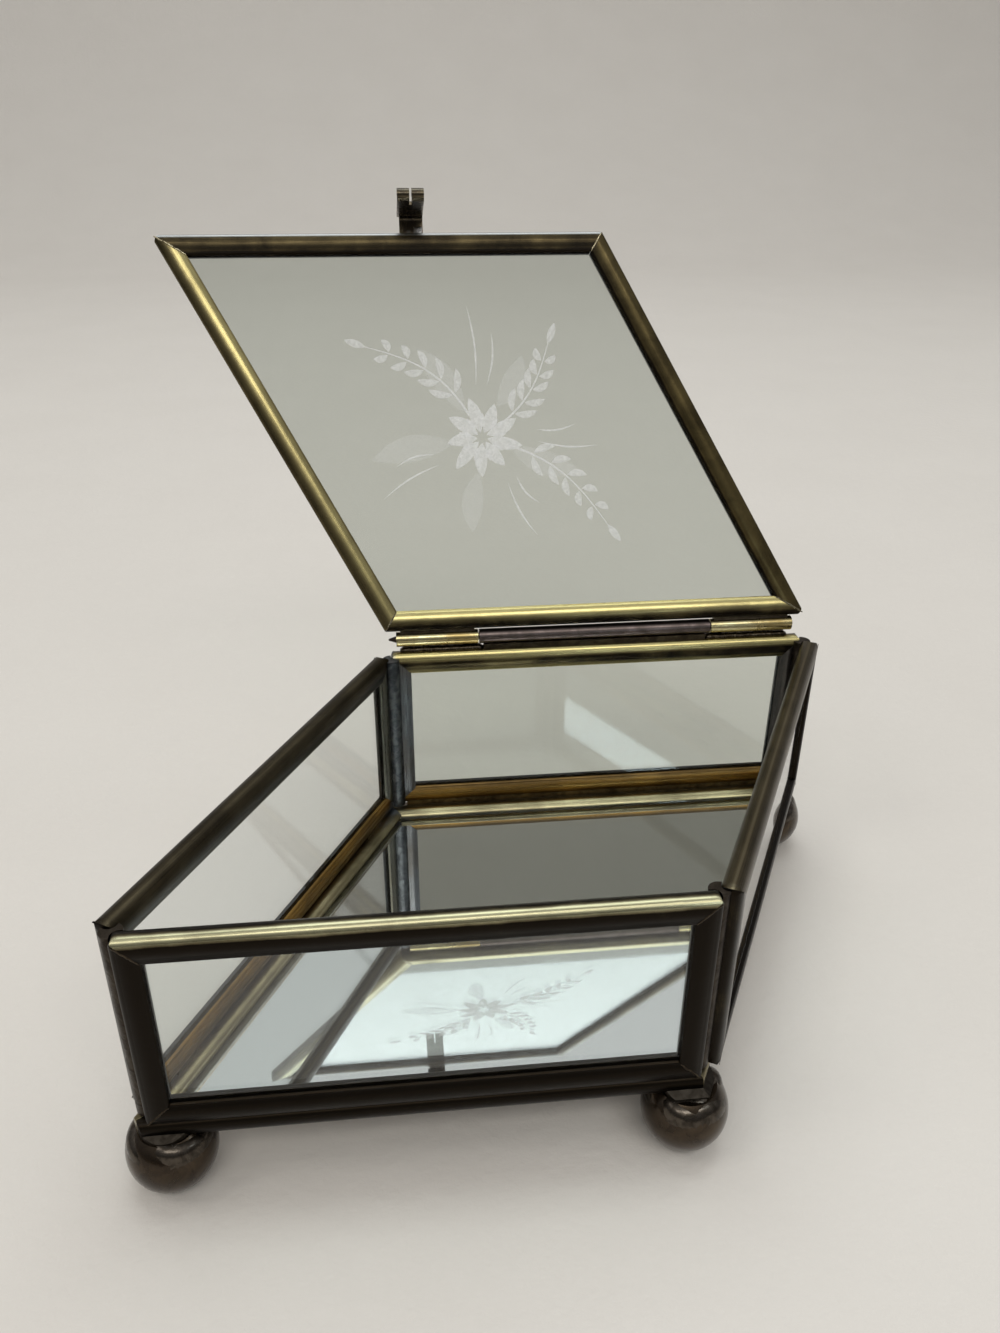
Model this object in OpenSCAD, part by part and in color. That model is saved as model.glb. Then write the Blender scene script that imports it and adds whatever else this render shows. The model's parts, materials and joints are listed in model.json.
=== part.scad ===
// Leaning glass casket box: a rhombus in plan, glass panes in folded brass
// channel, mirror floor, ball feet and a hinged lid, drawn with the lid open.

/* [Plan] */
// Length of the front and back walls, at their inner faces
front_len = 100; // [70:1:140]
// Length of the side walls, at their inner faces
side_len = 99.6; // [70:0.1:140]
// Angle of the acute corner at the front left
corner_angle = 62.2; // [56:0.1:80]

/* [Walls] */
// Height of the four walls
wall_h = 42.2; // [30:0.1:70]
// Gap between two mitred channel strips
mitre_gap = 0.1; // [0.04:0.01:0.2]
// Radius of each wall's four corners, seen from outside
corner_r = 1.6; // [0.4:0.1:2.4]

/* [Channel] */
// Thickness of the channel across the glass
came_t = 4; // [3.6:0.1:5]
// Depth of the channel's face, from its back to its lips
came_d = 4.7; // [4.2:0.1:6]
// Radius of the channel's folded back
came_r = 1.4; // [0.9:0.05:1.6]
// Radius along the outer edge of each lip
lip_r = 0.35; // [0.1:0.05:0.5]
// Depth of the slot that holds the glass
slot_d = 2.5; // [1.8:0.1:3]

/* [Glass] */
// Thickness of the glass panes and the mirror
pane_t = 2; // [1.5:0.1:2.4]
// Clearance on each face of a pane
pane_play = 0.05; // [0.02:0.01:0.15]
// Clearance between a pane's edge and the bottom of its slot
edge_play = 0.3; // [0.1:0.05:0.6]

/* [Base] */
// How far the base stands in front of the front wall's inner face
base_front = 3.4; // [2.6:0.1:5]
// How far the base stands behind the back wall's inner face
base_back = 0.4; // [0:0.1:4]
// How far the base stands outside each side wall's inner face
base_side = 2; // [1.6:0.1:4]
// How much of the base's two acute tips is cut away, along their bisector
base_tip_cut = 2.5; // [1:0.1:4]

/* [Lid] */
// How far the lid's front and back edges reach past the walls' inner faces
lid_lap = 1.06; // [0.5:0.02:1.6]
// How far the lid's left edge reaches past the left wall's inner face
lid_left_lap = 1.35; // [0:0.05:1.6]
// How far the lid's right edge reaches past the right wall's inner face
lid_right_lap = 0; // [-0.5:0.05:1.6]
// How much of each of the lid's acute tips is cut blunt
lid_tip_cut = 1.5; // [0.5:0.1:3]
// Gap between the closed lid and the tops of the walls
lid_gap = 0.05; // [0.05:0.01:0.4]
// Angle of the lid at its open stop
open_angle = 112.8; // [95:0.1:120]

/* [Hinge] */
// Outer radius of the hinge tubes
barrel_r = 1.75; // [1.5:0.05:2]
// Radius of the hinge pin
pin_r = 0.8; // [0.5:0.05:1]
// Running clearance between the pin and the tubes
pin_play = 0.05; // [0.02:0.01:0.09]
// Height of the solder bed under the middle tube
bed_h = 1.25; // [1:0.05:1.6]
// Solder gap between the lid's edge and the outer tubes
barrel_gap = 0.25; // [0.15:0.05:0.4]
// Length of the left tube
left_tube_len = 19.5; // [12:0.5:26]
// Length of the right tube
right_tube_len = 20.3; // [12:0.1:26]
// Gap between the ends of neighbouring tubes
tube_gap = 0.3; // [0.1:0.05:0.5]
// Distance from the back wall's left end to the hinge
hinge_inset_left = 1.5; // [1:0.5:6]
// Distance from the back wall's right end to the hinge
hinge_inset_right = 2.5; // [1:0.5:6]
// Length of the pin's pointed end, past the left tube
pin_point_len = 1.8; // [1:0.1:3]
// Length of the pin past the right tube
pin_tail_len = 0.4; // [0.2:0.1:1]

/* [Open stop] */
// Length of each stop lug along the hinge
lug_len = 3.5; // [2:0.1:5]
// Gap between a stop lug and the back rail when the lid is open
lug_gap = 0.09; // [0.06:0.01:0.2]

/* [Lift tab] */
// Width of the tab's hanging leg
tab_w = 5.8; // [4:0.1:9]
// Width of the tab's root, in line with the leg on its right
tab_root_w = 5.3; // [3.5:0.1:8]
// Thickness of the tab's strip
tab_t = 0.7; // [0.5:0.05:1]
// Clearance between the leg and the front wall when the lid is closed
tab_gap = 0.5; // [0.2:0.05:1]
// Outer radius of the bend between the root and the leg
tab_bend_r = 1.4; // [1.1:0.05:1.8]
// Height of the tab from its root's upper face to its lower end
tab_drop = 13.6; // [8:0.1:16]
// Outer radius of the curl at the lower end
tab_curl_r = 1.35; // [1.2:0.05:1.8]
// Place of the tab's middle along the lid's front edge, from its left tip
tab_from_left = 57.45; // [20:0.05:70]
// Width of the slit in the curled end
tab_slit_w = 0.5; // [0.3:0.05:0.8]
// Length of the slit
tab_slit_len = 3.6; // [1.5:0.1:6]

/* [Feet] */
// Radius of the ball feet
foot_r = 8.3; // [7:0.1:10]
// How much of each ball's top is cut away for the flat under the base
foot_top_cut = 2.2; // [1.2:0.1:3]
// Depth of the flat that each ball stands on
foot_flat = 0.3; // [0.1:0.05:0.6]
// Inset of the balls at the acute corners, along the front wall
foot_acute_x = 2.7; // [0:0.1:5]
// Inset of the balls at the acute corners, from the front wall
foot_acute_y = 0.5; // [-1:0.1:4]
// Inset of the balls at the obtuse corners, along the front wall
foot_obtuse_x = 1.8; // [0:0.1:5]
// Inset of the balls at the obtuse corners, from the front wall
foot_obtuse_y = -0.7; // [-1:0.1:4]

/* [Solder] */
// Radius of the solder seam in each upright corner
seam_r = 2; // [1.6:0.1:2.4]
// How far each seam stops short of the wall's top and bottom
seam_inset = 0.6; // [0.2:0.1:2]
// Length of each solder tack along the floor
tack_len = 7; // [3:0.5:12]
// Distance of the tacks from the ends of each wall
tack_inset = 9; // [6:0.5:14]
// Distance of the bead along the back wall's foot from the wall's ends
bead_inset = 2.4; // [2.2:0.1:5]
// Clearance between solder and a curved surface that it fills
solder_play = 0.03; // [0.02:0.01:0.08]
// How far the solder on each ball reaches out past the base's edges
fillet_w = 1.5; // [0.6:0.1:2]
// Height of that solder at the base's edges
fillet_h = 1.1; // [0.6:0.1:1.3]
// Distance of that solder from the rim of the ball's flat
fillet_inset = 0.3; // [0.1:0.05:0.8]

/* [Hidden] */
$fn = 64;
// Margin by which cutting shapes overshoot
over = 1;

// The plan, with the front wall's inner left corner at the origin
sin_c = sin(corner_angle);
cos_c = cos(corner_angle);
tan_c = sin_c / cos_c;
depth = side_len * sin_c;
lean = side_len * cos_c;
front_left = [0, 0];
front_right = [front_len, 0];
back_right = [front_len + lean, depth];
back_left = [lean, depth];

// The base panel
base_depth = depth + base_front + base_back;
base_side_len = base_depth / sin_c;
base_front_len = front_len + 2 * base_side / sin_c;
base_corner = [-base_side / sin_c - base_front / tan_c, -base_front];

// The lid panel
lid_depth = depth + 2 * lid_lap;
lid_side_len = lid_depth / sin_c;
lid_front_len = front_len + (lid_left_lap + lid_right_lap) / sin_c;
lid_corner = [-lid_left_lap / sin_c - lid_lap / tan_c, -lid_lap];

// The glass in its slots
slot_w = pane_t + 2 * pane_play;
pane_inset = came_d - slot_d + edge_play;

// The hinge line, behind the lid's back edge and above the walls
edge_to_axis = barrel_gap + barrel_r;
axis_y = depth + lid_lap + edge_to_axis;
axis_z = bed_h + barrel_r;
hinge_from = lean + hinge_inset_left;
hinge_to = lean + front_len - hinge_inset_right;
middle_from = hinge_from + left_tube_len + tube_gap / 2;
middle_to = hinge_to - right_tube_len - tube_gap / 2;

// The middles of the ball feet, and the radius of the flat on top of each
front_left_place = [foot_acute_x, foot_acute_y];
front_right_place = [front_len - foot_obtuse_x, foot_obtuse_y];
back_right_place = [front_len + lean - foot_acute_x, depth - foot_acute_y];
back_left_place = [lean + foot_obtuse_x, depth - foot_obtuse_y];
foot_flat_r = sqrt(pow(foot_r, 2) - pow(foot_r - foot_top_cut, 2));

// Heights above the floor
foot_centre_z = foot_r - foot_flat;
base_z = foot_centre_z + foot_r - foot_top_cut;
wall_top_z = base_z + came_t + wall_h;

// The lift tab sticks out of the middle of the lid's edge, past the front wall
tab_top_z = lid_gap + came_t / 2 + tab_t / 2;
tab_reach = came_t - lid_lap + tab_gap + tab_t;
tab_left = lid_corner[0] + tab_from_left - tab_w / 2;
tab_root_left = tab_left + tab_w - tab_root_w;

// How far back a round edge of the closed lid lies when the lid is open
function back_when_open(y, z, r) =
    axis_y + (y - axis_y) * cos(open_angle) + (z - axis_z) * sin(open_angle) + r;

// The origin is under the middle of the whole box, the open lid included
tab_back_y = back_when_open(
    tab_bend_r - lid_lap - tab_reach, tab_top_z - tab_bend_r, tab_bend_r
);
lid_back_y = back_when_open(came_r - lid_lap, lid_gap + came_t - came_r, came_r);
foot_front_y = foot_obtuse_y - foot_r;
mid_x = (front_len + lean) / 2;
mid_y = (max(tab_back_y, lid_back_y) + foot_front_y) / 2;

// Places what is drawn from the front wall's inner left corner at the walls' tops
module in_box() {
    translate([-mid_x, -mid_y, wall_top_z]) children();
}

// Places what is drawn on the closed lid as it lies when open
module in_lid() {
    in_box()
        translate([0, axis_y, axis_z])
            rotate([-open_angle, 0, 0])
                translate([0, -axis_y, -axis_z]) children();
}

// Turns half a turn about the middle of the plan
module opposite() {
    translate([front_len + lean, depth, 0]) rotate([0, 0, 180]) children();
}

// Outline of the channel without its slot, its back at x = 0, grown by g
module came_outline(g = 0) {
    translate([came_r, -g]) square([came_d - came_r - lip_r, came_t + 2 * g]);
    translate([-g, came_r]) square([came_r + g + over / 10, came_t - 2 * came_r]);
    translate([came_r, lip_r]) square([came_d - came_r + g, came_t - 2 * lip_r]);
    for (y = [came_r, came_t - came_r])
        translate([came_r, y]) circle(r = came_r + g);
    for (y = [lip_r, came_t - lip_r])
        translate([came_d - lip_r, y]) circle(r = lip_r + g);
}

// Section of the folded channel
module came_section() {
    difference() {
        came_outline();
        translate([came_d - slot_d, (came_t - slot_w) / 2]) square([slot_d + over, slot_w]);
    }
}

// A channel strip along +X, its back on y = 0, mitred for the corner angles at its ends
module came_strip(length, start_angle, end_angle) {
    start_x = mitre_gap / 2 / sin(start_angle / 2);
    end_x = length - mitre_gap / 2 / sin(end_angle / 2);
    start_slope = 1 / tan(start_angle / 2);
    end_slope = 1 / tan(end_angle / 2);
    deep = came_d + over;
    intersection() {
        translate([-over, 0, 0])
            rotate([90, 0, 90]) linear_extrude(height = length + 2 * over) came_section();
        translate([0, 0, -over])
            linear_extrude(height = came_t + 2 * over)
                polygon([
                    [start_x - over * start_slope, -over],
                    [end_x + over * end_slope, -over],
                    [end_x - deep * end_slope, deep],
                    [start_x + deep * start_slope, deep]
                ]);
    }
}

// One strip of a panel with sides w and s and first corner angle a, counted from the
// side along +X anticlockwise
module panel_strip(side, w, s, a) {
    corner = [[0, 0], [w, 0], [w + s * cos(a), s * sin(a)], [s * cos(a), s * sin(a)]][side];
    even = side % 2 == 0;
    translate([corner[0], corner[1], 0])
        rotate([0, 0, [0, a, 180, 180 + a][side]])
            came_strip(even ? w : s, even ? a : 180 - a, even ? 180 - a : a);
}

// The pane of such a panel
module panel_pane(w, s, a) {
    near = pane_inset / tan(a / 2);
    far = pane_inset * tan(a / 2);
    translate([0, 0, came_t / 2 - pane_t / 2])
        linear_extrude(height = pane_t)
            polygon([
                [near, pane_inset],
                [w - far, pane_inset],
                [w + s * cos(a) - near, s * sin(a) - pane_inset],
                [s * cos(a) + far, s * sin(a) - pane_inset]
            ]);
}

// Stands a panel on the base, from a corner of the plan, with its thickness outwards
module stand_wall(corner, heading) {
    translate([corner[0], corner[1], -wall_h]) rotate([90, 0, heading]) children();
}

module in_front_wall() {
    stand_wall(front_left, 0) children();
}

module in_right_wall() {
    stand_wall(front_right, corner_angle) children();
}

module in_back_wall() {
    stand_wall(back_right, 180) children();
}

module in_left_wall() {
    stand_wall(back_left, 180 + corner_angle) children();
}

module in_base() {
    translate([base_corner[0], base_corner[1], -wall_h - came_t]) children();
}

module on_lid() {
    translate([lid_corner[0], lid_corner[1], lid_gap]) children();
}

// Outline of a wall with its corners rounded
module wall_outline(length) {
    translate([corner_r, 0]) square([length - 2 * corner_r, wall_h]);
    translate([0, corner_r]) square([length, wall_h - 2 * corner_r]);
    for (x = [corner_r, length - corner_r], y = [corner_r, wall_h - corner_r])
        translate([x, y]) circle(r = corner_r);
}

// One strip of a wall
module wall_strip(side, length) {
    intersection() {
        panel_strip(side, length, wall_h, 90);
        translate([0, 0, -over])
            linear_extrude(height = came_t + 2 * over) wall_outline(length);
    }
}

module front_strip(side) {
    color("#6b6148") in_box() in_front_wall() wall_strip(side, front_len);
}

module back_strip(side) {
    color("#8a744a") in_box() in_back_wall() wall_strip(side, front_len);
}

module left_strip(side) {
    color("#6b6148") in_box() in_left_wall() wall_strip(side, side_len);
}

module right_strip(side) {
    color("#6b6148") in_box() in_right_wall() wall_strip(side, side_len);
}

// Half-plane past the blunt end of an acute tip at the origin
module tip_cut(cut) {
    rotate(corner_angle / 2)
        translate([cut - 4 * came_d, -4 * came_d])
            square([4 * came_d, 8 * came_d]);
}

// Both tip cuts of a panel with front length w and depth d
module tip_cuts(cut, w, d) {
    tip_cut(cut);
    translate([w + d / tan_c, d]) rotate(180) tip_cut(cut);
}

// Outline of the base panel with its acute tips cut blunt, grown by g on every side
module base_outline(g) {
    w = base_front_len + 2 * g / sin_c;
    d = base_depth + 2 * g;
    difference() {
        translate([-g / sin_c - g / tan_c, -g])
            polygon([[0, 0], [w, 0], [w + d / tan_c, d], [d / tan_c, d]]);
        tip_cuts(base_tip_cut - g, base_front_len, base_depth);
    }
}

module base_strip(side) {
    color("#5c5140") in_box() in_base()
        difference() {
            panel_strip(side, base_front_len, base_side_len, corner_angle);
            translate([0, 0, -over])
                linear_extrude(height = came_t + 2 * over)
                    tip_cuts(base_tip_cut, base_front_len, base_depth);
        }
}

module lid_strip(side) {
    color("#a8874c") in_lid() on_lid()
        difference() {
            panel_strip(side, lid_front_len, lid_side_len, corner_angle);
            translate([0, 0, -over])
                linear_extrude(height = came_t + 2 * over)
                    tip_cuts(lid_tip_cut, lid_front_len, lid_depth);
        }
}

module front_glass() {
    color("#cfe0dc", 0.4) in_box() in_front_wall() panel_pane(front_len, wall_h, 90);
}

module back_glass() {
    color("#cfe0dc", 0.4) in_box() in_back_wall() panel_pane(front_len, wall_h, 90);
}

module left_glass() {
    color("#cfe0dc", 0.4) in_box() in_left_wall() panel_pane(side_len, wall_h, 90);
}

module right_glass() {
    color("#cfe0dc", 0.4) in_box() in_right_wall() panel_pane(side_len, wall_h, 90);
}

module lid_glass() {
    color("#d5e4e2", 0.4) in_lid() on_lid()
        panel_pane(lid_front_len, lid_side_len, corner_angle);
}

module base_mirror() {
    color("#c3cdd0") in_box() in_base()
        panel_pane(base_front_len, base_side_len, corner_angle);
}

module front_bottom_came() { front_strip(0); }
module front_right_came() { front_strip(1); }
module front_top_came() { front_strip(2); }
module front_left_came() { front_strip(3); }

module back_bottom_came() { back_strip(0); }
module back_left_came() { back_strip(1); }
module back_top_came() { back_strip(2); }
module back_right_came() { back_strip(3); }

module left_bottom_came() { left_strip(0); }
module left_front_came() { left_strip(1); }
module left_top_came() { left_strip(2); }
module left_back_came() { left_strip(3); }

module right_bottom_came() { right_strip(0); }
module right_back_came() { right_strip(1); }
module right_top_came() { right_strip(2); }
module right_front_came() { right_strip(3); }

module base_front_came() { base_strip(0); }
module base_right_came() { base_strip(1); }
module base_back_came() { base_strip(2); }
module base_left_came() { base_strip(3); }

module lid_front_came() { lid_strip(0); }
module lid_right_came() { lid_strip(1); }
module lid_back_came() { lid_strip(2); }
module lid_left_came() { lid_strip(3); }

// Plan outline of a wall's end post that starts at the origin and runs along a heading,
// with its thickness on the left or the right of that heading
module post_outline(heading, on_left) {
    rotate(heading) mirror([0, on_left ? 0 : 1]) came_outline(solder_play);
}

// Solder that fills the groove between two end posts
module corner_seam(first_heading, first_left, second_heading, second_left) {
    color("#8f9499")
        translate([0, 0, seam_inset - wall_h])
            linear_extrude(height = wall_h - 2 * seam_inset)
                difference() {
                    circle(r = seam_r);
                    post_outline(first_heading, first_left);
                    post_outline(second_heading, second_left);
                }
}

module acute_seam() {
    corner_seam(0, false, corner_angle, true);
}

module obtuse_seam() {
    translate([front_len, 0, 0]) corner_seam(180, true, corner_angle, false);
}

module front_left_seam() { in_box() acute_seam(); }
module front_right_seam() { in_box() obtuse_seam(); }
module back_right_seam() { in_box() opposite() acute_seam(); }
module back_left_seam() { in_box() opposite() obtuse_seam(); }

// Solder in the angle between a wall's foot and the floor, which stands out past the
// wall's inner face by base_out
module floor_bead(from, to, base_out) {
    cove = came_r * 0.65;
    translate([from, 0, 0])
        rotate([90, 0, 90])
            linear_extrude(height = to - from)
                difference() {
                    polygon([
                        [-came_r / 2, 0], [cove, 0], [cove, cove],
                        [0, cove], [-came_r / 4, came_r / 3]
                    ]);
                    translate([came_r, came_r]) circle(r = came_r + solder_play);
                    translate([-came_t, base_out]) rotate(-90) came_outline(solder_play);
                }
}

module wall_tacks(length, base_out) {
    for (x = [tack_inset, length - tack_inset - tack_len])
        floor_bead(x, x + tack_len, base_out);
}

// Two tacks to a wall, and one long bead at the back, where the floor's edge is short
module floor_tacks() {
    color("#7f8a94") in_box() {
        in_front_wall() wall_tacks(front_len, base_front);
        in_right_wall() wall_tacks(side_len, base_side);
        in_back_wall() floor_bead(bead_inset, front_len - bead_inset, base_back);
        in_left_wall() wall_tacks(side_len, base_side);
    }
}

// A ball foot, flat under the base's corner and where it stands
module ball_foot(place) {
    color("#57503f")
        translate([place[0], place[1], 0])
            difference() {
                translate([0, 0, foot_centre_z - wall_top_z]) sphere(r = foot_r);
                translate([-foot_r, -foot_r, base_z - wall_top_z])
                    cube([2 * foot_r, 2 * foot_r, foot_r]);
                translate([-foot_r, -foot_r, -wall_top_z - foot_r])
                    cube([2 * foot_r, 2 * foot_r, foot_r]);
            }
}

module front_left_foot() {
    in_box() ball_foot(front_left_place);
}

module front_right_foot() {
    in_box() ball_foot(front_right_place);
}

module back_right_foot() {
    in_box() ball_foot(back_right_place);
}

module back_left_foot() {
    in_box() ball_foot(back_left_place);
}

// Section of the base's rounded edge, its back at x = 0, grown by g
module edge_section(g) {
    translate([came_r, -g]) square([base_front_len, came_t + 2 * g]);
    translate([-g, came_r]) square([base_front_len, came_t - 2 * came_r]);
    for (y = [came_r, came_t - came_r])
        translate([came_r, y]) circle(r = came_r + g);
}

// Section of the solder round the base's edge, sloping down outwards
module fillet_section() {
    polygon([
        [-fillet_w, 0], [base_front_len, 0], [base_front_len, fillet_h],
        [0, fillet_h], [-fillet_w, fillet_h / 4]
    ]);
}

// A long straight edge through the origin along +X, with the section of its children
module long_edge() {
    translate([-base_front_len, 0, 0])
        rotate([90, 0, 90]) linear_extrude(height = 3 * base_front_len) children();
}

// A body with the base's plan, grown by g, and the section of its children on every side
module base_body(g) {
    intersection() {
        long_edge() children();
        rotate([0, 0, corner_angle]) mirror([0, 1, 0]) long_edge() children();
        translate([base_front_len, 0, 0]) rotate([0, 0, corner_angle]) long_edge() children();
        translate([0, base_depth, 0]) mirror([0, 1, 0]) long_edge() children();
        translate([0, 0, -over]) linear_extrude(height = came_t + 2 * over) base_outline(g);
    }
}

// The solder on one ball's flat, round the base's corner
module ball_solder(place) {
    intersection() {
        translate([place[0], place[1], -wall_h - came_t])
            cylinder(r = foot_flat_r - fillet_inset, h = fillet_h);
        in_base() base_body(fillet_w) fillet_section();
    }
}

module foot_solder() {
    color("#77756c") in_box()
        difference() {
            for (place = [front_left_place, front_right_place, back_right_place, back_left_place])
                ball_solder(place);
            in_base() base_body(solder_play) edge_section(solder_play);
        }
}

// A section drawn from the hinge line, its x to the back and its y up, run along the hinge
module along_hinge(from, to) {
    translate([from, axis_y, axis_z])
        rotate([90, 0, 90]) linear_extrude(height = to - from) children();
}

module tube_section() {
    difference() {
        circle(r = barrel_r);
        circle(r = pin_r + pin_play);
    }
}

module hinge_middle_tube() {
    color("#7b6466") in_box() along_hinge(middle_from, middle_to) tube_section();
}

// Solder between the middle tube and the back wall's top rail
module hinge_bed() {
    rail_front = depth + came_r - axis_y;
    rail_back = depth + came_t - came_r - axis_y;
    color("#544c39") in_box()
        along_hinge(middle_from + over, middle_to - over)
            difference() {
                polygon([
                    [rail_front + 0.1, -axis_z],
                    [rail_back + came_r / 2, -axis_z],
                    [rail_back + came_r, -barrel_r + 0.5],
                    [rail_front + 0.1, -barrel_r + 0.3]
                ]);
                circle(r = barrel_r + solder_play);
            }
}

module hinge_pin() {
    color("#3a3630") in_box() translate([hinge_from, axis_y, axis_z]) rotate([0, 90, 0]) {
        cylinder(r = pin_r, h = hinge_to - hinge_from + pin_tail_len);
        translate([0, 0, -pin_point_len])
            cylinder(r1 = pin_r / 4, r2 = pin_r, h = pin_point_len);
    }
}

// Section of a stop lug, drawn as it hangs when the lid is open
module lug_section() {
    rail_x = depth + came_t - came_r - axis_y;
    rail_z = -axis_z - came_r;
    tip_z = -axis_z - came_r / 4;
    tip_x = rail_x + sqrt(pow(came_r + lug_gap, 2) - pow(tip_z - rail_z, 2));
    root = barrel_r * 0.8;
    polygon([
        [tip_x, -root], [tip_x, tip_z], [tip_x + 0.5, tip_z], [tip_x + 1, -root],
        [root, 0], [tip_x, 0]
    ]);
}

// An outer tube with its stop lug at one end
module lid_tube(from, to, lug_from) {
    color("#b8954f") in_lid() {
        along_hinge(from, to) tube_section();
        along_hinge(lug_from, lug_from + lug_len)
            difference() {
                rotate(open_angle) lug_section();
                circle(r = pin_r + pin_play + 0.4);
            }
    }
}

// Solder between an outer tube and the lid's back rail
module lid_tube_solder(from, to) {
    color("#c7b48a") in_lid()
        along_hinge(from + over, to - over)
            difference() {
                translate([-edge_to_axis - came_r / 2, -0.7 * barrel_r])
                    square([came_r / 2 + edge_to_axis, 0.9 * barrel_r]);
                circle(r = barrel_r + solder_play);
                translate([-edge_to_axis, lid_gap - axis_z])
                    mirror([1, 0]) came_outline(solder_play);
            }
}

module hinge_left_tube() {
    end = hinge_from + left_tube_len - tube_gap / 2;
    lid_tube(hinge_from, end, end - lug_len);
}

module hinge_left_solder() {
    lid_tube_solder(hinge_from, hinge_from + left_tube_len);
}

module hinge_right_tube() {
    start = hinge_to - right_tube_len + tube_gap / 2;
    lid_tube(start, hinge_to, start);
}

module hinge_right_solder() {
    lid_tube_solder(hinge_to - right_tube_len, hinge_to);
}

// Section of the tab's root and bend, x forwards from the lid's edge, y up from its upper
// face, with a stub that lies inside the leg
module tab_root_section() {
    bend_x = tab_reach - tab_bend_r;
    translate([0, -tab_t]) square([bend_x, tab_t]);
    translate([bend_x, -tab_bend_r])
        intersection() {
            difference() {
                circle(r = tab_bend_r);
                circle(r = tab_bend_r - tab_t);
            }
            square(tab_bend_r);
        }
    translate([tab_reach - tab_t, -tab_bend_r - tab_t]) square(tab_t);
}

// Section of the hanging leg, which curls forwards at its end
module tab_leg_section() {
    curl_y = tab_curl_r - tab_drop;
    translate([tab_reach - tab_t, curl_y]) square([tab_t, -tab_bend_r - curl_y]);
    translate([tab_reach - tab_t + tab_curl_r, curl_y])
        difference() {
            circle(r = tab_curl_r);
            circle(r = tab_curl_r - tab_t);
            translate([-tab_curl_r - over, 0]) square(tab_curl_r + over);
        }
}

// Places a section of the tab on the lid's front edge and gives it a width
module tab_piece(left, w) {
    translate([left, -lid_lap, tab_top_z])
        rotate([90, 0, -90]) mirror([0, 0, 1]) linear_extrude(height = w) children();
}

module lift_tab() {
    color("#6e5f42") in_lid()
        difference() {
            union() {
                tab_piece(tab_root_left, tab_root_w) tab_root_section();
                tab_piece(tab_left, tab_w) tab_leg_section();
            }
            translate([
                tab_left + tab_w / 2 - tab_slit_w / 2,
                -lid_lap - tab_reach - 2 * tab_curl_r - over,
                tab_top_z - tab_drop - over
            ])
                cube([tab_slit_w, 2 * tab_curl_r + tab_t + 2 * over, tab_slit_len + over]);
        }
}

// Solder under the tab's root
module lift_tab_solder() {
    color("#c9ccce") in_lid()
        translate([tab_root_left + tab_root_w * 0.6, -lid_lap, tab_top_z - tab_t])
            rotate([0, 90, 0])
                linear_extrude(height = tab_root_w * 0.35)
                    polygon([[0, 0], [0.5, 0], [0.35, -1], [0, -1.5]]);
}

front_glass();
back_glass();
left_glass();
right_glass();
lid_glass();
base_mirror();
front_bottom_came();
front_right_came();
front_top_came();
front_left_came();
back_bottom_came();
back_right_came();
back_top_came();
back_left_came();
left_bottom_came();
left_front_came();
left_top_came();
left_back_came();
right_bottom_came();
right_back_came();
right_top_came();
right_front_came();
base_front_came();
base_right_came();
base_back_came();
base_left_came();
lid_front_came();
lid_right_came();
lid_back_came();
lid_left_came();
front_left_seam();
front_right_seam();
back_right_seam();
back_left_seam();
floor_tacks();
front_left_foot();
front_right_foot();
back_right_foot();
back_left_foot();
foot_solder();
hinge_middle_tube();
hinge_bed();
hinge_pin();
hinge_left_tube();
hinge_left_solder();
hinge_right_tube();
hinge_right_solder();
lift_tab();
lift_tab_solder();
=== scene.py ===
"""Looks of the glass casket box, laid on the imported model."""
import json
import math
import random

import bmesh
import bpy
from mathutils import Matrix, Vector


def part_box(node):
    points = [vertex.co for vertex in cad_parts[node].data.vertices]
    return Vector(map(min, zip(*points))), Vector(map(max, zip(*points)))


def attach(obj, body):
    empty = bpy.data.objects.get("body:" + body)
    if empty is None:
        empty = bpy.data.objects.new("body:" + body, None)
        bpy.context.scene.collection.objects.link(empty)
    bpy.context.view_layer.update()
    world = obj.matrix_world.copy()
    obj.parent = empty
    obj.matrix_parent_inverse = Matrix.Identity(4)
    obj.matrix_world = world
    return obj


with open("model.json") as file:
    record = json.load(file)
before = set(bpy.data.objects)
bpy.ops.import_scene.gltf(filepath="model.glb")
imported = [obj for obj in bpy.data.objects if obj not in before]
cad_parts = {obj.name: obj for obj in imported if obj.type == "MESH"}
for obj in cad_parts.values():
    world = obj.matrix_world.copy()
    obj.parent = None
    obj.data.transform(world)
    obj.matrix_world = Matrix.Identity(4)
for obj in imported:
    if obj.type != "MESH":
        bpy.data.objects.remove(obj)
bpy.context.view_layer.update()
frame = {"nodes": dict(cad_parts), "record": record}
nodes = frame["nodes"]
lid_hinge = frame["record"]["behaviour"]["joints"][0]

MM = 0.001

# Sizes of the box, in metres
CORNER = math.radians(62.2)
FRONT_LEN = 100 * MM
SIDE_LEN = 99.6 * MM
DEPTH = SIDE_LEN * math.sin(CORNER)
LEAN = SIDE_LEN * math.cos(CORNER)
WALL_H = 42.2 * MM
CAME_T = 4 * MM
CAME_D = 4.7 * MM
PANE_T = 2 * MM
LID_GAP = 0.05 * MM
LID_LAP = 1.06 * MM
LID_LEFT_LAP = 1.35 * MM
LID_RIGHT_LAP = 0.0
BASE_FRONT = 3.4 * MM
BASE_BACK = 0.4 * MM
BASE_SIDE = 2 * MM

# The hinge line and the lid's angle, and how the line lies to the lid's edge and the walls
HINGE_Y, HINGE_Z = lid_hinge["pos_m"][1:]
OPEN = math.radians(lid_hinge["range_deg"][1])
EDGE_TO_AXIS = 2 * MM
WALLS_TO_AXIS = 3 * MM

# The front wall's inner left corner in the frame's plan, and heights in the frame
PLAN_X = -(FRONT_LEN + LEAN) / 2
PLAN_Y = HINGE_Y - DEPTH - LID_LAP - EDGE_TO_AXIS
WALL_TOP = HINGE_Z - WALLS_TO_AXIS
BASE_TOP = WALL_TOP - WALL_H

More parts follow.
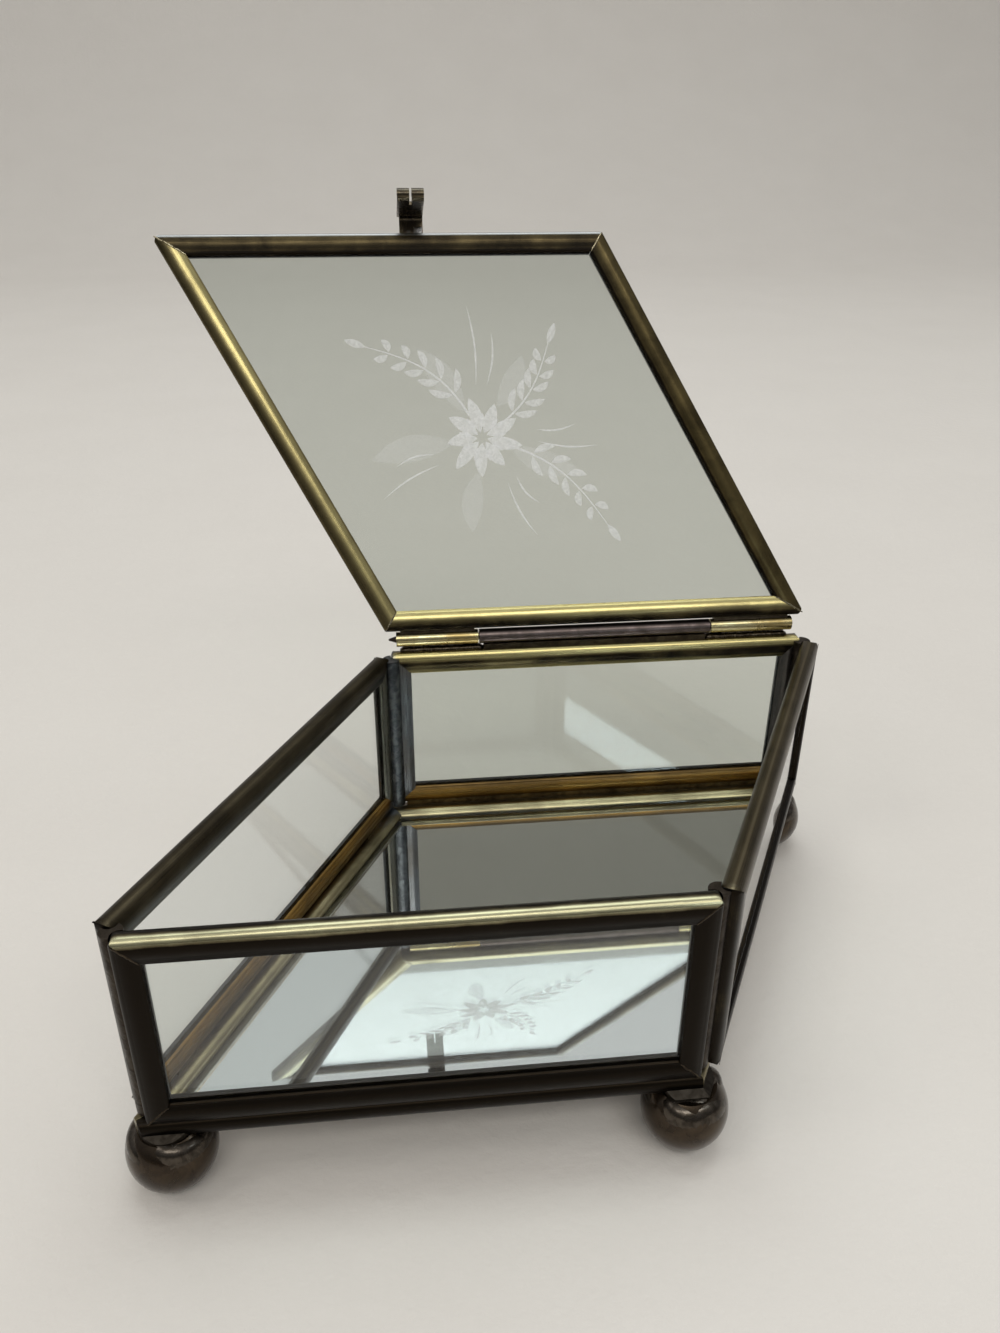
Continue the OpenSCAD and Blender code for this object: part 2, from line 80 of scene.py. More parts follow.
# The photograph's camera
CAMERA_AT = Vector((-26.36, -197.22, 179.58)) * MM
PITCH = math.radians(28.43)
YAW = math.radians(6.42)
ROLL = math.radians(0.372)
LENS = 29.246

LIFT = (
    Matrix.Translation((0, HINGE_Y, HINGE_Z))
    @ Matrix.Rotation(-OPEN, 4, "X")
    @ Matrix.Translation((0, -HINGE_Y, -HINGE_Z))
)
UP = Vector((0, 0, 1))
LID_DOWN = -(LIFT.to_3x3() @ UP).normalized()


def in_box(x, y, z):
    """A point counted from the front wall's inner left corner at the walls' tops."""
    return Vector((PLAN_X + x, PLAN_Y + y, WALL_TOP + z))


def on_lid(x, y, z):
    """The same point of the closed lid, carried to where the open lid holds it."""
    return LIFT @ in_box(x, y, z)


def heading(angle):
    """The way at an angle in the plan."""
    return Vector((math.cos(angle), math.sin(angle), 0))


class Strip:
    """A channel strip: a point of its outer edge, the way it runs, the way to the glass
    and the way through the panel's thickness from the face that starts it."""

    def __init__(self, edge, along, inward, out):
        self.edge, self.along, self.inward, self.out = edge, along, inward, out

    def lifted(self):
        """The same strip of the lid, carried to where the open lid holds it."""
        turn = LIFT.to_3x3()
        return Strip(LIFT @ self.edge, turn @ self.along, turn @ self.inward, turn @ self.out)

    def turn(self):
        """The turn of a frame whose x runs along the strip."""
        across = self.along.cross(self.inward)
        return tuple(Matrix((self.along, self.inward, across)).transposed().to_euler())


def wall_strips(name, corner, angle, length, ends):
    """The four strips of a wall, ends naming the upright ones in the order they are met."""
    along, out = heading(angle), Vector((math.sin(angle), -math.cos(angle), 0))
    far = corner + along * length
    return {
        f"{name}_bottom_came": Strip(corner - UP * WALL_H, along, UP, out),
        f"{name}_{ends[1]}_came": Strip(far, UP, -along, out),
        f"{name}_top_came": Strip(corner, along, -UP, out),
        f"{name}_{ends[0]}_came": Strip(corner, UP, along, out),
    }


def flat_strips(name, front, back, left, right, z):
    """The four strips of a lying panel, by how far it reaches past the walls' faces."""
    along, side = heading(0), heading(CORNER)
    across = Vector((math.sin(CORNER), -math.cos(CORNER), 0))
    near, far = in_box(0, 0, z), in_box(FRONT_LEN + LEAN, DEPTH, z)
    return {
        f"{name}_front_came": Strip(near - Vector((0, front, 0)), along, Vector((0, 1, 0)), UP),
        f"{name}_back_came": Strip(far + Vector((0, back, 0)), along, Vector((0, -1, 0)), UP),
        f"{name}_left_came": Strip(near - across * left, side, across, UP),
        f"{name}_right_came": Strip(far + across * right, side, -across, UP),
    }


strips = {}
strips.update(wall_strips("front", in_box(0, 0, 0), 0, FRONT_LEN, ("left", "right")))
strips.update(wall_strips(
    "right", in_box(FRONT_LEN, 0, 0), CORNER, SIDE_LEN, ("front", "back")
))
strips.update(wall_strips(
    "back", in_box(FRONT_LEN + LEAN, DEPTH, 0), math.pi, FRONT_LEN, ("right", "left")
))
strips.update(wall_strips(
    "left", in_box(LEAN, DEPTH, 0), math.pi + CORNER, SIDE_LEN, ("back", "front")
))
strips.update(flat_strips(
    "base", BASE_FRONT, BASE_BACK, BASE_SIDE, BASE_SIDE, -WALL_H - CAME_T
))
for key, strip in flat_strips(
    "lid", LID_LAP, LID_LAP, LID_LEFT_LAP, LID_RIGHT_LAP, LID_GAP
).items():
    strips[key] = strip.lifted()


class Look:
    """A material being made, with short calls for its nodes."""

    def __init__(self, name):
        self.material = bpy.data.materials.new(name)
        self.material.use_nodes = True
        self.tree = self.material.node_tree
        self.tree.nodes.clear()
        self.place = self.node("ShaderNodeTexCoord").outputs["Object"]

    def node(self, kind, **settings):
        made = self.tree.nodes.new(kind)
        for key, value in settings.items():
            setattr(made, key, value)
        return made

    def put(self, socket, value):
        if isinstance(value, bpy.types.NodeSocket):
            self.tree.links.new(value, socket)
        else:
            socket.default_value = value

    def math(self, operation, a, b=0.0, clamp=False):
        made = self.node("ShaderNodeMath", operation=operation, use_clamp=clamp)
        self.put(made.inputs[0], a)
        self.put(made.inputs[1], b)
        return made.outputs[0]

    def total(self, *values):
        """The sum of several values, kept between 0 and 1."""
        amount = values[0]
        for value in values[1:]:
            amount = self.math("ADD", amount, value)
        return self.math("ADD", amount, 0.0, clamp=True)

    def along(self, direction, offset):
        """How far the place lies along a direction, past an offset."""
        made = self.node("ShaderNodeVectorMath", operation="DOT_PRODUCT")
        self.put(made.inputs[0], self.place)
        self.put(made.inputs[1], direction)
        return self.math("SUBTRACT", made.outputs["Value"], offset)

    def past(self, point, direction):
        """How far the place lies past a point along a direction."""
        return self.along(direction, point.dot(direction))

    def away(self, point):
        """Distance from a point."""
        made = self.node("ShaderNodeVectorMath", operation="DISTANCE")
        self.put(made.inputs[0], self.place)
        self.put(made.inputs[1], point)
        return made.outputs["Value"]

    def fade(self, value, start, end, low=0.0, high=1.0):
        """low up to start and high from end on, smooth between."""
        made = self.node("ShaderNodeMapRange", interpolation_type="SMOOTHSTEP")
        for name, number in (
            ("Value", value), ("From Min", start), ("From Max", end),
            ("To Min", low), ("To Max", high),
        ):
            self.put(made.inputs[name], number)
        return made.outputs["Result"]

    def mix(self, share, a, b):
        """Colour a, turning into b."""
        made = self.node("ShaderNodeMix", data_type="RGBA")
        self.put(made.inputs[0], share)
        self.put(made.inputs[6], a if isinstance(a, bpy.types.NodeSocket) else (*a, 1))
        self.put(made.inputs[7], b if isinstance(b, bpy.types.NodeSocket) else (*b, 1))
        return made.outputs[2]

    def noise(self, size, detail=3.0, rough=0.55, place=None, bend=0.0):
        """Noise whose patches are about as wide as size, in metres."""
        made = self.node("ShaderNodeTexNoise")
        self.put(made.inputs["Vector"], self.place if place is None else place)
        self.put(made.inputs["Scale"], 1 / size)
        self.put(made.inputs["Detail"], detail)
        self.put(made.inputs["Roughness"], rough)
        self.put(made.inputs["Distortion"], bend)
        return made.outputs["Fac"]

    def combed(self, turn, length, width):
        """Places stretched along a direction, for brushed streaks."""
        made = self.node("ShaderNodeMapping", vector_type="TEXTURE")
        self.put(made.inputs["Vector"], self.place)
        self.put(made.inputs["Rotation"], turn)
        self.put(made.inputs["Scale"], (length, width, width))
        return made.outputs["Vector"]

    def bump(self, height, depth, under=None):
        """A bump depth metres deep, on top of another."""
        made = self.node("ShaderNodeBump")
        self.put(made.inputs["Strength"], 1.0)
        self.put(made.inputs["Distance"], depth)
        self.put(made.inputs["Height"], height)
        if under is not None:
            self.put(made.inputs["Normal"], under)
        return made.outputs["Normal"]

    def surface(self, **inputs):
        """The one shader, its inputs named with _ for a space."""
        made = self.node("ShaderNodeBsdfPrincipled")
        for key, value in inputs.items():
            self.put(made.inputs[key.replace("_", " ")], value)
        return made.outputs["BSDF"]

    def finish(self, shader):
        out = self.node("ShaderNodeOutputMaterial")
        self.tree.links.new(shader, out.inputs["Surface"])
        return self.material


# Colours of the brass, from bright to patinated, and of the solder on it
GOLD = (0.485, 0.415, 0.185)
PALE_GOLD = (0.585, 0.53, 0.31)
WORN_GOLD = (0.37, 0.345, 0.21)
DULL_GOLD = (0.31, 0.25, 0.09)
BROWN_GOLD = (0.26, 0.21, 0.09)
OLIVE = (0.21, 0.19, 0.12)
AMBER = (0.40, 0.235, 0.06)
POST = (0.15, 0.15, 0.125)
BROWN = (0.070, 0.048, 0.024)
PATINA = (0.011, 0.008, 0.005)
# A pale colour laid along an outer edge as a painted highlight
RIM_HIGHLIGHT = (0.30, 0.295, 0.28)
TIN = (0.24, 0.265, 0.29)
LEAD = (0.03, 0.033, 0.036)

# The channel's marks: streaks along it, clouds and fine grain
STREAK_LEN, STREAK_W = 16 * MM, 0.14 * MM
CLOUD = 13 * MM
GRAIN = 0.22 * MM

# Radii to which shading rounds the channel's face and its edge
FACE_R = 3.4 * MM
EDGE_R = 2.3 * MM


def arch(look, along, centre, radius):
    """The height of a rounding across a distance, flat past its ends."""
    least = 1e-8
    off = look.math("SUBTRACT", along, centre)
    square = look.math("SUBTRACT", radius * radius, look.math("MULTIPLY", off, off))
    return look.math("SQRT", look.math("MAXIMUM", square, least))


def nodes_of(names, material):
    """Gives CAD nodes a material."""
    for name in names.split():
        slots = nodes[name].data.materials
        slots.clear()
        slots.append(material)


def channel(name, gold=GOLD, dark=PATINA, cover=0.3, face=(), edge=(), rough=(0.27, 0.36),
            spread=0.12, tinned=(), rim=None):
    """Brass channel that patina covers in part, more or less by spread. face lists where
    over the strip's width, in millimetres from its outer edge, the cover changes and by
    how much, edge the same through its thickness; some of these rows are patina, others
    paint highlights, reflections and shade across the rounded strip. tinned lists places
    and reaches of solder on it, and rim is the colour of a painted highlight along an
    outer edge."""
    strip = strips[name]
    look = Look("brass_" + name)
    width = look.past(strip.edge, strip.inward)
    through = look.past(strip.edge, strip.out)
    streaks = look.noise(1.0, 4, 0.6, look.combed(strip.turn(), STREAK_LEN, STREAK_W))
    clouds = look.noise(CLOUD, 4, 0.6, bend=0.3)
    grain = look.noise(GRAIN, 2)
    # The face and edge rows: part patina, part painted highlights, painted reflections and painted
    # shade
    changes = [
        look.fade(place, start * MM, end * MM, 0, change)
        for place, rows in ((width, face), (through, edge)) for start, end, change in rows
    ]
    amount = look.total(
        cover,
        look.fade(clouds, 0.3, 0.7, -spread, spread),
        look.fade(streaks, 0.3, 0.7, -0.04, 0.05),
        look.fade(grain, 0.45, 0.8, 0, 0.10),
        *changes,
    )
    half = tuple((g + 3 * b) / 4 for g, b in zip(gold, BROWN))
    colour = look.mix(look.fade(amount, 0.0, 0.55), gold, half)
    colour = look.mix(look.fade(amount, 0.45, 1.0), colour, dark)
    roughness = look.math(
        "ADD", look.fade(amount, 0.0, 1.0, *rough), look.fade(streaks, 0.3, 0.7, -0.04, 0.05)
    )
    for point, reach in tinned:
        ragged = look.math(
            "ADD", look.away(point), look.fade(clouds, 0.3, 0.7, -reach / 2, reach / 2)
        )
        colour = look.mix(look.fade(ragged, reach * 1.2, reach * 0.5), colour, TIN)
    # A painted highlight: a pale line along the strip's outer edge
    if rim:
        colour = look.mix(look.fade(width, 1.0 * MM, 0.5 * MM), colour, rim)
    rounding = look.math(
        "ADD", arch(look, width, CAME_D / 2, FACE_R), arch(look, through, CAME_T / 2, EDGE_R)
    )
    normal = look.bump(rounding, 1.0)
    normal = look.bump(clouds, 0.10 * MM, normal)
    normal = look.bump(streaks, 0.002 * MM, normal)
    normal = look.bump(grain, 0.003 * MM, normal)
    nodes_of(name, look.finish(look.surface(
        Base_Color=colour, Metallic=1.0, Roughness=roughness, Normal=normal,
        Coat_Weight=0.05, Coat_Roughness=0.2,
    )))


def round_metal(name, light, dark, size=4 * MM, rough=(0.2, 0.34), depth=0.05 * MM, coat=0.0):
    """Metal of balls, tubes and solder, mottled between two colours."""
    look = Look(name)
    patches = look.noise(size, 5, 0.6, bend=0.8)
    grain = look.noise(0.3 * MM, 3, 0.6)
    colour = look.mix(look.fade(patches, 0.33, 0.68), light, dark)
    colour = look.mix(look.fade(grain, 0.55, 0.8, 0, 0.4), colour, tuple(c / 3 for c in dark))
    normal = look.bump(patches, depth)
    normal = look.bump(grain, 0.005 * MM, normal)
    return look.finish(look.surface(
        Base_Color=colour, Metallic=1.0, Normal=normal,
        Roughness=look.fade(patches, 0.3, 0.7, *rough),
        Coat_Weight=coat, Coat_Roughness=0.1,
    ))


def clear_glass(name, tint):
    """Glass that lets lamps through to what it covers."""
    look = Look(name)
    smudges = look.noise(16 * MM, 4, 0.6, bend=1.2)
    dust = look.noise(0.5 * MM, 2)
    roughness = look.math(
        "ADD", look.fade(smudges, 0.5, 0.8, 0.0, 0.03), look.fade(dust, 0.72, 0.8, 0, 0.08)
    )
    glass = look.surface(
        Base_Color=(*tint, 1), Transmission_Weight=1.0, IOR=1.5, Roughness=roughness
    )
    through = look.node("ShaderNodeBsdfTransparent")
    look.put(through.inputs["Color"], (*tint, 1))
    both = look.node("ShaderNodeMixShader")
    look.put(both.inputs[0], look.node("ShaderNodeLightPath").outputs["Is Shadow Ray"])
    look.put(both.inputs[1], glass)
    look.put(both.inputs[2], through.outputs["BSDF"])
    return look.finish(both.outputs[0])


def silver(name):
    """A mirror's silvering, slightly hazy and with a few dark specks."""
    look = Look(name)
    specks = look.noise(1.1 * MM, 4, 0.7)
    haze = look.noise(22 * MM, 4, 0.6)
    colour = look.mix(look.fade(specks, 0.74, 0.8, 0, 0.6), (0.84, 0.86, 0.84), (0.35, 0.33, 0.30))
    return look.finish(look.surface(
        Base_Color=colour, Metallic=1.0, Roughness=look.fade(haze, 0.4, 0.7, 0.01, 0.035)
    ))


def backing(name):
    """The brushed grey paint on a mirror's back."""
    look = Look(name)
    strokes = look.noise(1.0, 4, 0.6, look.combed((0, 0, 0.4), 20 * MM, 0.6 * MM))
    clouds = look.noise(9 * MM, 4)
    colour = look.mix(clouds, (0.20, 0.20, 0.19), (0.27, 0.265, 0.25))
    normal = look.bump(strokes, 0.02 * MM)
    return look.finish(look.surface(
        Base_Color=colour, Roughness=look.fade(strokes, 0.3, 0.7, 0.5, 0.7), Normal=normal
    ))


def frosted(name, strength):
    """Ground glass of the wheel-cut design."""
    look = Look(name)
    grind = look.noise(1.2 * MM, 4, 0.65, bend=0.5)
    fine = look.noise(0.18 * MM, 3)
    alpha = look.math(
        "ADD", look.fade(grind, 0.3, 0.7, strength * 0.8, strength * 1.2),
        look.fade(fine, 0.4, 0.8, -0.05, 0.08),
    )
    colour = look.mix(fine, (0.90, 0.90, 0.89), (0.97, 0.97, 0.97))
    return look.finish(look.surface(
        Base_Color=colour, Roughness=look.fade(grind, 0.3, 0.7, 0.5, 0.75),
        Alpha=alpha, Normal=look.bump(fine, 0.01 * MM),
    ))


def stage_paint():
    """Warm pale paint of the floor and backdrop."""
    look = Look("stage_paint")
    clouds = look.noise(60 * MM, 3)
    fine = look.noise(4 * MM, 4, 0.6)
    colour = look.mix(clouds, (0.68, 0.63, 0.57), (0.72, 0.67, 0.61))
    return look.finish(look.surface(
        Base_Color=colour, Roughness=0.85, Normal=look.bump(fine, 0.3 * MM)
    ))


# The walls' channel
back_left_foot = in_box(LEAN, DEPTH, -WALL_H)
back_left_head = in_box(LEAN, DEPTH, -2 * MM)
# The front top strip is brass bared along its rounded outer edge, partly wear and partly a painted
# highlight where the light catches it, over a dark patinated face
channel("front_top_came", gold=WORN_GOLD, cover=1.0, edge=((1.3, 2.7, -1.0),),
        face=((0.6, 1.6, 1.1),), spread=0.2)
channel("front_bottom_came", cover=1.1)
channel("front_left_came", cover=1.1)
channel("front_right_came", cover=1.1)
# The left top strip is lighter near the glass's edge: a painted reflection
channel("left_top_came", gold=OLIVE, cover=0.76, face=((4.0, 4.5, -0.3),),
        rough=(0.32, 0.42), spread=0.06)
# The right top strip has a lighter band along the middle of its top edge: a painted highlight
channel("right_top_came", gold=OLIVE, cover=0.66, edge=((1.6, 2.0, -0.25), (2.1, 2.5, 0.3)),
        rough=(0.32, 0.42), spread=0.06)
channel("left_bottom_came", gold=AMBER, cover=0.3, edge=((1, 3, 0.8),),
        tinned=((back_left_foot, 5 * MM),))
channel("right_bottom_came", gold=AMBER, cover=0.3, edge=((1, 3, 0.8),))
channel("left_front_came", cover=1.0)
channel("left_back_came", gold=POST, cover=0.15, edge=((1, 3, 0.7),))
channel("right_front_came", cover=1.0)
channel("right_back_came", gold=POST, cover=0.5, edge=((1, 3, 0.5),))
# The back top strip is bright along its top edge where the light catches it, dark below that and
# lighter again by the glass: painted highlight, painted shade and painted reflection; its darker
# outer side is patina
channel("back_top_came", cover=0.0, edge=((1.5, 3, 0.8),),
        face=((1.0, 2.2, 0.85), (3.4, 4.3, -0.75)), tinned=((back_left_head, 2.5 * MM),))
channel("back_bottom_came", gold=AMBER, cover=0.15, edge=((1, 3, 0.8),),
        face=((1.6, 0.6, 0.5), (3.6, 4.4, 0.4)))
channel("back_left_came", gold=TIN, dark=LEAD, cover=0.35, edge=((1, 3, 0.5),))
channel("back_right_came", gold=TIN, dark=LEAD, cover=0.5, edge=((1, 3, 0.5),))

# The base's and the lid's channel
channel("base_front_came", cover=1.2)
channel("base_back_came", gold=PALE_GOLD, cover=0.3, face=((3.4, 2.2, 0.35),))
channel("base_left_came", gold=PALE_GOLD, cover=0.55, tinned=((back_left_foot, 7 * MM),))
channel("base_right_came", gold=PALE_GOLD, cover=0.55)
# The lid's left strip darkens towards its outer edge, a painted shade, and a little by the glass
channel("lid_left_came", cover=0.24, face=((3.2, 0.5, 0.5), (4.2, 4.6, 0.3)), spread=0.08)
channel("lid_right_came", gold=DULL_GOLD, cover=0.68, face=((4.0, 4.6, 0.3),))
# The lid's back strip is bright by the glass and darkens towards the hinge: a painted highlight
# and painted shade
channel("lid_back_came", cover=0.0, face=((3.6, 0.6, 0.95),))
# The lid's front strip carries a painted highlight along its outer edge
channel("lid_front_came", gold=BROWN_GOLD, cover=0.76, face=((3.6, 4.5, 0.3),), rim=RIM_HIGHLIGHT)

# Hinge, tab, feet and solder
nodes_of("hinge_left_tube hinge_right_tube", round_metal(
    "outer_tubes", PALE_GOLD, (0.36, 0.27, 0.11), 9 * MM, (0.2, 0.3), 0.02 * MM))
nodes_of("hinge_middle_tube", round_metal(
    "middle_tube", (0.15, 0.12, 0.11), (0.085, 0.066, 0.06), 5 * MM, (0.28, 0.4)))
nodes_of("hinge_bed hinge_left_solder hinge_right_solder", round_metal(
    "dark_joint", (0.07, 0.055, 0.035), (0.03, 0.022, 0.015), 2 * MM, (0.3, 0.45)))
nodes_of("hinge_pin", round_metal(
    "dark_pin", (0.09, 0.075, 0.06), (0.04, 0.03, 0.025), 2 * MM, (0.25, 0.4)))
nodes_of("lift_tab", round_metal(
    "tab_metal", (0.085, 0.068, 0.04), (0.04, 0.03, 0.02), 3 * MM, (0.2, 0.32), coat=0.25))
nodes_of("front_left_foot front_right_foot back_right_foot back_left_foot", round_metal(
    "ball_metal", (0.062, 0.043, 0.026), (0.03, 0.02, 0.012), 4 * MM, (0.2, 0.3), coat=0.3))
nodes_of("foot_solder", round_metal(
    "foot_solder_metal", (0.045, 0.038, 0.03), (0.02, 0.016, 0.012), 2 * MM, (0.36, 0.48)))
nodes_of("back_left_seam", round_metal(
    "tinned_seam", (0.15, 0.16, 0.165), (0.05, 0.055, 0.06), 2 * MM, (0.3, 0.42), 0.12 * MM))
nodes_of("front_left_seam front_right_seam back_right_seam", round_metal(
    "seam_metal", (0.05, 0.04, 0.03), (0.024, 0.018, 0.013), 2 * MM, (0.3, 0.45), 0.12 * MM))
nodes_of("floor_tacks", round_metal(
    "tack_metal", (0.20, 0.15, 0.08), (0.08, 0.06, 0.035), 3 * MM, (0.28, 0.42), 0.12 * MM))
nodes_of("lift_tab_solder", round_metal(
    "tab_solder_metal", (0.50, 0.50, 0.50), (0.25, 0.25, 0.25), 1 * MM, (0.2, 0.3)))

# Glass
nodes_of("front_glass left_glass right_glass", clear_glass("wall_glass", (0.905, 0.925, 0.91)))
# The back and lid panes are tinted green and much darker than the walls' panes; their darkness is
# painted shade, standing in for the shade on what lies behind them
nodes_of("back_glass", clear_glass("back_pane_glass", (0.69, 0.72, 0.68)))
nodes_of("lid_glass", clear_glass("lid_pane_glass", (0.69, 0.72, 0.68)))
nodes_of("base_mirror", clear_glass("mirror_glass", (0.95, 0.96, 0.962)))


def link(name, bm, materials, body, smooth=True):
    """Makes a piece of a bmesh that rides a body."""
    mesh = bpy.data.meshes.new(name)
    bm.to_mesh(mesh)
    bm.free()
    for face in mesh.polygons:
        face.use_smooth = smooth
    made = bpy.data.objects.new(name, mesh)
    bpy.context.scene.collection.objects.link(made)
    for material in materials:
        made.data.materials.append(material)
    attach(made, body)


def silver_layer():
    """The silvering under the floor's glass, its edge slightly eaten away."""
    chance = random.Random(5)
    inset, ragged, per_side = 2.6 * MM, 0.12 * MM, 60
    gap, thick = 0.005 * MM, 0.03 * MM
    top = BASE_TOP - (CAME_T + PANE_T) / 2 - gap
    slope = 1 / math.tan(CORNER)
    front, back = -BASE_FRONT + inset, DEPTH + BASE_BACK - inset
    side = (BASE_SIDE - inset) / math.sin(CORNER)
    corners = [
        (front * slope - side, front), (FRONT_LEN + front * slope + side, front),
        (FRONT_LEN + back * slope + side, back), (back * slope - side, back),
    ]
    ring = []
    for k in range(4):
        start, end = Vector(corners[k]), Vector(corners[(k + 1) % 4])
        for j in range(per_side):
            shift = Vector((chance.uniform(-1, 1), chance.uniform(-1, 1))) * ragged
            ring.append(start.lerp(end, j / per_side) + shift)
    bm = bmesh.new()
    upper = [bm.verts.new((PLAN_X + p.x, PLAN_Y + p.y, top)) for p in ring]
    lower = [bm.verts.new((PLAN_X + p.x, PLAN_Y + p.y, top - thick)) for p in ring]
    bm.faces.new(upper)
    bm.faces.new(list(reversed(lower))).material_index = 1
    count = len(ring)
    for k in range(count):
        j = (k + 1) % count
        bm.faces.new((upper[k], lower[k], lower[j], upper[j])).material_index = 1
    link("mirror_silver", bm, (silver("silvering"), backing("backing_paint")), "box", False)


silver_layer()


def ribbon(bm, points, widths, normal, rise, sections=6):
    """A low ridge along points that lie on a face with a normal."""
    turns = [math.pi * j / sections for j in range(sections + 1)]
    rows = []
    for k, point in enumerate(points):
        before, after = points[max(k - 1, 0)], points[min(k + 1, len(points) - 1)]
        side = (after - before).cross(normal).normalized() * widths[k] / 2
        rows.append([
            bm.verts.new(point + side * math.cos(t) + normal * rise * math.sin(t)) for t in turns
        ])
    for first, second in zip(rows, rows[1:]):
        for j in range(sections):
            bm.faces.new((first[j], first[j + 1], second[j + 1], second[j]))


# The design ground into the lid's inner face, in millimetres and degrees of the closed
# lid's plan: stems by their end and bow, rays by their angle, start and end, and faint
# blades by the same and their width
FLOWER = Vector((70.0, 45.0))
PETALS = 9
PETAL_ENDS = (9.5, 8.2, 9.0)
STEMS = (((44, 24), 4.5), ((99, 66), -4.0), ((86, 24), 3.0))
RAYS = (
    (150, 12, 27), (163, 12, 21), (62, 12, 26), (50, 12, 20),
    (-95, 12, 30), (-83, 12, 24), (5, 13, 27), (-7, 13, 22),
)
BLADES = ((20, 7, 24, 5.5), (98, 8, 22, 5), (170, 7, 26, 6), (-62, 8, 21, 5), (-125, 7, 25, 5.5))


def under_lid(x, y, depth):
    """A point below the lid glass's inner face, by its depth under that face."""
    return on_lid(x, y, LID_GAP + (CAME_T - PANE_T) / 2 - depth)


def lid_face(x, y):
    """A point just off the lid glass's inner face."""
    return under_lid(x, y, 0.01 * MM)


def hazy_face(x, y):
    """The same a hair further off, for the lightly brushed blades."""
    return under_lid(x, y, 0.03 * MM)


def way_at(degrees):
    """The way at an angle in the lid's plan."""
    angle = math.radians(degrees)
    return Vector((math.cos(angle), math.sin(angle)))


def lens(bm, root, tip, width, bow, face, rise=0.03 * MM):
    """A wheel-cut leaf from root to tip in the closed lid's plan, bowed to one side."""
    steps, least = 14, 0.05
    way = tip - root
    side = Vector((-way.y, way.x)).normalized()
    points, widths = [], []
    for k in range(steps + 1):
        swell = math.sin(math.pi * k / steps)
        p = root + way * (k / steps) + side * bow * swell
        points.append(face(p.x * MM, p.y * MM))
        widths.append(max(width * swell ** 0.8, least) * MM)
    ribbon(bm, points, widths, LID_DOWN, rise)


def spoke(bm, angle, near, far, *shape):
    """A leaf that points away from the flower's middle."""
    way = way_at(angle)
    lens(bm, FLOWER + way * near, FLOWER + way * far, *shape)


def cut_stem(end, bow, chance, rays, leaves):
    """A bowed stem from the flower, with pairs of leaves and one more at its end."""
    steps, bare = 26, 0.16
    way = Vector(end) - FLOWER
    side = Vector((-way.y, way.x)).normalized()
    shares = [bare + (1 - bare) * k / steps for k in range(steps + 1)]
    line = [FLOWER + way * s + side * bow * math.sin(math.pi * s) for s in shares]
    widths = [(0.55 - 0.35 * k / steps) * MM for k in range(steps + 1)]
    ribbon(rays, [lid_face(p.x * MM, p.y * MM) for p in line], widths, LID_DOWN, 0.02 * MM)
    for k in range(5, steps - 1, 4):
        run = (line[k + 1] - line[k - 1]).normalized()
        for turn in (-1, 1):
            angle = math.radians(38 * turn + chance.uniform(-5, 5))
            out = Matrix.Rotation(angle, 2) @ run
            length = 7.0 - 0.16 * k + chance.uniform(-0.4, 0.4)
            lens(leaves, line[k] + out * 0.6, line[k] + out * length, 1.7, 0.5 * turn, lid_face)
    lens(leaves, line[-1], line[-1] + run * 5.0, 1.7, 0, lid_face)


def cut_design():
    """A sprig with a star flower, ground into the lid's inner face."""
    chance = random.Random(11)
    petals, leaves, rays, haze = bmesh.new(), bmesh.new(), bmesh.new(), bmesh.new()
    between = 360 / PETALS
    for k in range(PETALS):
        angle = 12 + between * k
        spoke(petals, angle, 1.2, PETAL_ENDS[k % 3], 2.9, 0.3, lid_face)
        spoke(petals, angle + between / 2, 2.4, 5.6, 1.1, 0, lid_face)
    for end, bow in STEMS:
        cut_stem(end, bow, chance, rays, leaves)
    for angle, near, far in RAYS:
        spoke(rays, angle, near, far, 0.42, 0.8, lid_face, 0.015 * MM)
    for angle, near, far, width in BLADES:
        spoke(haze, angle, near, far, width, 0.8, hazy_face, 0.01 * MM)
    link("lid_cut_haze", haze, (frosted("frost_haze", 0.16),), "lid")
    link("lid_cut_petals", petals, (frosted("frost_petals", 0.5),), "lid")
    link("lid_cut_leaves", leaves, (frosted("frost_leaves", 0.42),), "lid")
    link("lid_cut_rays", rays, (frosted("frost_rays", 0.5),), "lid")


cut_design()


def meeting(first, second):
    """The corner where the outer edges of two strips of a panel meet."""
    out = first.out.normalized()
    along, other = first.along.normalized(), second.along.normalized()
    span = second.edge - first.edge
    span -= out * span.dot(out)
    cross = along.cross(other)
    return first.edge + along * (span.cross(other).dot(cross) / cross.length_squared)


def mitre_beads(corners, width, rise, seed, outer):
    """Beads of solder along mitres, on the outer or the inner face of a panel."""
    chance = random.Random(seed)
    bm = bmesh.new()
    steps, sunk = 18, 0.03 * MM
    for names in corners:
        first, second = (strips[name] for name in names)
        out, inward = first.out.normalized(), first.inward.normalized()
        way = (inward + second.inward.normalized()).normalized()
        reach = CAME_D / way.dot(inward)
        start = meeting(first, second) + out * (CAME_T if outer else 0)
        face = out if outer else -out
        points, widths = [], []
        for k in range(steps + 1):
            share = 0.12 + 0.86 * k / steps
            drift = chance.uniform(-0.08, 0.08) * MM
            points.append(start + way * reach * share + face.cross(way) * drift - face * sunk)
            swell = 0.55 + 0.45 * math.sin(math.pi * k / steps)
            widths.append(width * swell * chance.uniform(0.85, 1.15))
        ribbon(bm, points, widths, face, rise)
    return bm


